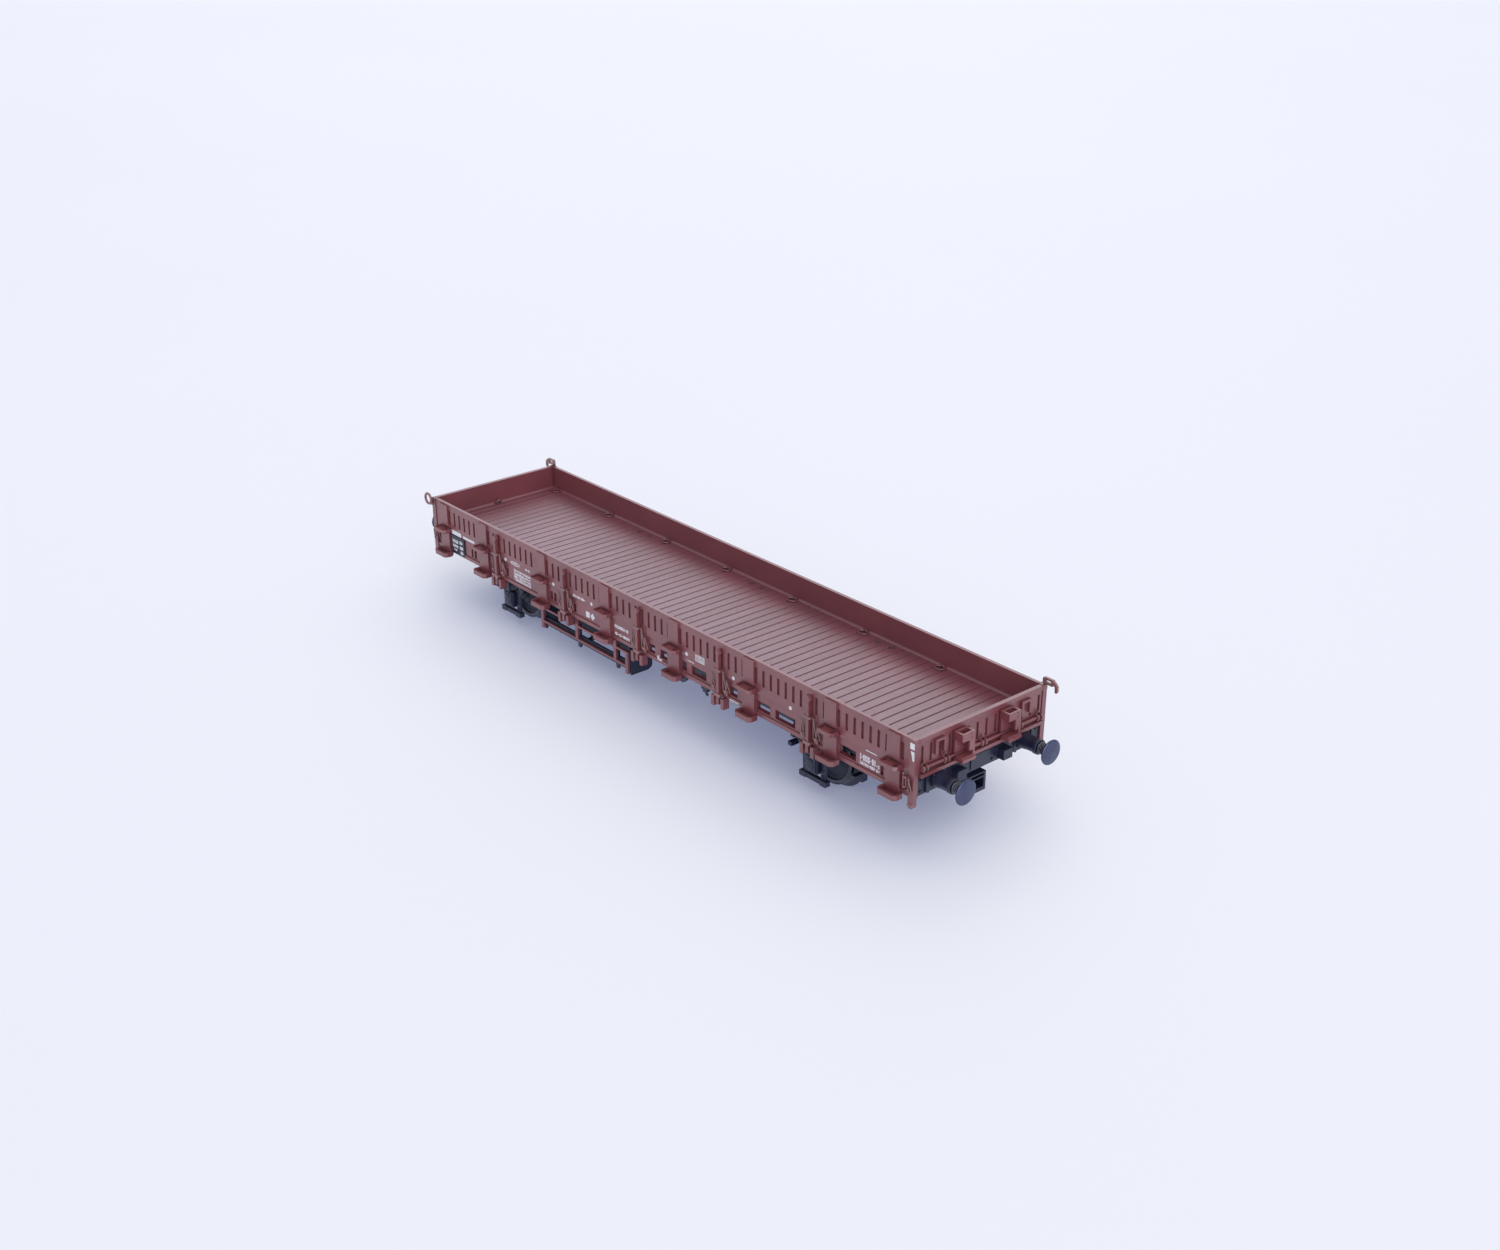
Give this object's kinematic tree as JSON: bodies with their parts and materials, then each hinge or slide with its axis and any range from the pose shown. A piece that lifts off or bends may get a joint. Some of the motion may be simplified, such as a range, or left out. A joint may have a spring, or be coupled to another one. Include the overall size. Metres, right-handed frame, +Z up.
{
  "type": "model railway flat car",
  "caption": "Scale-model two-axle flat car with low walls, planked deck, stake sockets, sprung buffers, close-coupler sockets and rolling wheelsets.",
  "frame": {"origin": "middle of the wagon on the plane under the wheel flanges", "axes": "+X along the wagon, +Y towards the rear long side, +Z up"},
  "size_m": [0.16, 0.0356, 0.0233],
  "materials": {
    "brown_plastic": "satin moulded oxide red-brown",
    "black_plastic": "satin moulded blue-black",
    "dark_steel": "blackened metal",
    "bright_steel": "turned bright steel",
    "ballast_steel": "rolled mild steel"
  },
  "bodies": {
    "root": {"deck_floor": "brown_plastic", "chassis_frame": "black_plastic", "ballast_plate": "ballast_steel", "brake_cylinder": "black_plastic", "brake_rigging": "black_plastic", "corner_post_front_right": "brown_plastic", "corner_post_front_left": "brown_plastic", "corner_post_rear_right": "brown_plastic", "corner_post_rear_left": "brown_plastic", "side_wall_front": "brown_plastic", "side_sill_front": "brown_plastic", "stake_rack_frame_front": "brown_plastic", "stake_rack_tray_front": "black_plastic", "side_wall_rear": "brown_plastic", "side_sill_rear": "brown_plastic", "stake_rack_frame_rear": "brown_plastic", "stake_rack_tray_rear": "black_plastic", "end_wall_right": "brown_plastic", "headstock_right": "black_plastic", "coupler_carrier_right": "black_plastic", "coupler_spring_right": "bright_steel", "body_screw_right": "bright_steel", "brake_beam_right_inner": "black_plastic", "brake_beam_right_outer": "black_plastic", "end_stake_pocket_front_right": "brown_plastic", "buffer_sleeve_front_right": "black_plastic", "axle_guard_front_right": "black_plastic", "end_stake_pocket_rear_right": "brown_plastic", "buffer_sleeve_rear_right": "black_plastic", "axle_guard_rear_right": "black_plastic", "end_wall_left": "brown_plastic", "headstock_left": "black_plastic", "coupler_carrier_left": "black_plastic", "coupler_spring_left": "bright_steel", "body_screw_left": "bright_steel", "brake_beam_left_inner": "black_plastic", "brake_beam_left_outer": "black_plastic", "end_stake_pocket_front_left": "brown_plastic", "buffer_sleeve_front_left": "black_plastic", "axle_guard_front_left": "black_plastic", "end_stake_pocket_rear_left": "brown_plastic", "buffer_sleeve_rear_left": "black_plastic", "axle_guard_rear_left": "black_plastic", "lamp_bracket_front_left": "brown_plastic", "lamp_bracket_rear_left": "brown_plastic", "lamp_bracket_rear_right": "brown_plastic"},
    "coupler_right": {"coupler_pocket_right": "black_plastic"},
    "wheelset_right": {"axle_right": "bright_steel", "wheel_front_right": "dark_steel", "wheel_rear_right": "dark_steel"},
    "buffer_front_right": {"buffer_plunger_front_right": "dark_steel"},
    "buffer_rear_right": {"buffer_plunger_rear_right": "dark_steel"},
    "coupler_left": {"coupler_pocket_left": "black_plastic"},
    "wheelset_left": {"axle_left": "bright_steel", "wheel_front_left": "dark_steel", "wheel_rear_left": "dark_steel"},
    "buffer_front_left": {"buffer_plunger_front_left": "dark_steel"},
    "buffer_rear_left": {"buffer_plunger_rear_left": "dark_steel"}
  },
  "joints": [
    {"name": "wheelset_right_roll", "type": "hinge", "parent": "root", "child": "wheelset_right", "pos_m": [0.0471, 0, 0.0065], "axis": [0, 1, 0], "continuous": true},
    {"name": "coupler_right_swing", "type": "hinge", "parent": "root", "child": "coupler_right", "pos_m": [0.058, 0, 0.0092], "axis": [0, 0, 1], "range_deg": [-10, 10], "stiffness_Nm_per_rad": 0.002},
    {"name": "buffer_front_right_travel", "type": "slide", "parent": "root", "child": "buffer_front_right", "axis": [-1, 0, 0], "range_m": [0, 0.0012], "stiffness_N_per_m": 150, "springref_m": -0.001},
    {"name": "buffer_rear_right_travel", "type": "slide", "parent": "root", "child": "buffer_rear_right", "axis": [-1, 0, 0], "range_m": [0, 0.0012], "stiffness_N_per_m": 150, "springref_m": -0.001},
    {"name": "wheelset_left_roll", "type": "hinge", "parent": "root", "child": "wheelset_left", "pos_m": [-0.0471, 0, 0.0065], "axis": [0, 1, 0], "continuous": true},
    {"name": "coupler_left_swing", "type": "hinge", "parent": "root", "child": "coupler_left", "pos_m": [-0.058, 0, 0.0092], "axis": [0, 0, 1], "range_deg": [-10, 10], "stiffness_Nm_per_rad": 0.002},
    {"name": "buffer_front_left_travel", "type": "slide", "parent": "root", "child": "buffer_front_left", "axis": [1, 0, 0], "range_m": [0, 0.0012], "stiffness_N_per_m": 150, "springref_m": -0.001},
    {"name": "buffer_rear_left_travel", "type": "slide", "parent": "root", "child": "buffer_rear_left", "axis": [1, 0, 0], "range_m": [0, 0.0012], "stiffness_N_per_m": 150, "springref_m": -0.001}
  ]
}
